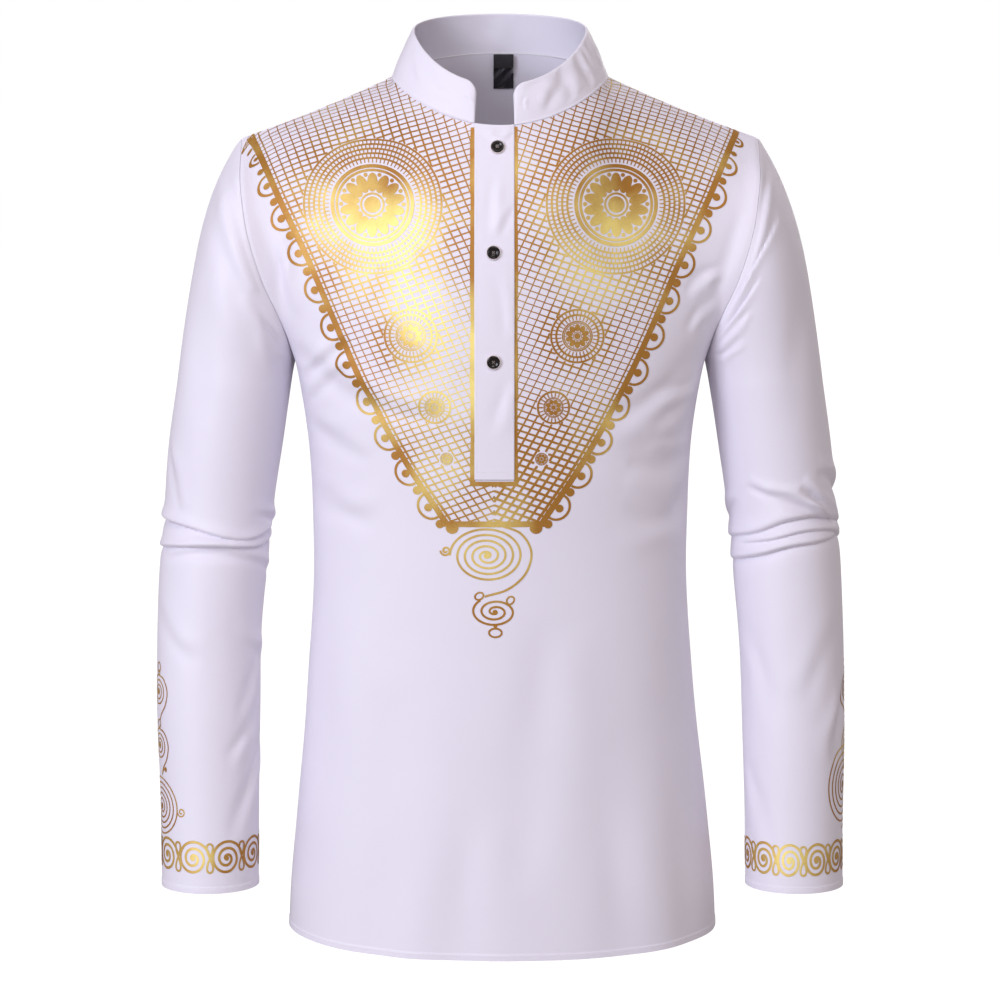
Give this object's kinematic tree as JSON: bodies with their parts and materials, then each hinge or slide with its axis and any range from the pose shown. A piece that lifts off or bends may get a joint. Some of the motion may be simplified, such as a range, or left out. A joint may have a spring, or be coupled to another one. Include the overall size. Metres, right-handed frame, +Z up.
{
  "type": "dashiki shirt",
  "caption": "Long-sleeved pullover shirt with a stand-up band collar, buttoned half placket, gold foil print down the chest and at the cuffs, filled out with no wearer.",
  "frame": {"origin": "middle of the neck base, level with the points where the shoulder seams meet the collar, where the wearer's neck and shoulders hold the shirt up", "axes": "+Z up, the shirt's front faces -Y, the wearer's left is +X"},
  "size_m": [0.6034, 0.252, 0.8054],
  "materials": {
    "printed_cloth": "smooth white shirting with bright gold foil print",
    "plain_cloth": "smooth white shirting with a faint sheen",
    "button": "polished dark horn look in a pale metal rim",
    "label": "black woven ribbon, bare"
  },
  "bodies": {
    "root": {"front": "printed_cloth", "back": "plain_cloth", "sleeve_left": "printed_cloth", "sleeve_right": "printed_cloth", "collar": "plain_cloth", "placket": "plain_cloth", "button_1": "button", "button_2": "button", "button_3": "button", "neck_label": "label", "size_tab": "label"}
  },
  "joints": []
}
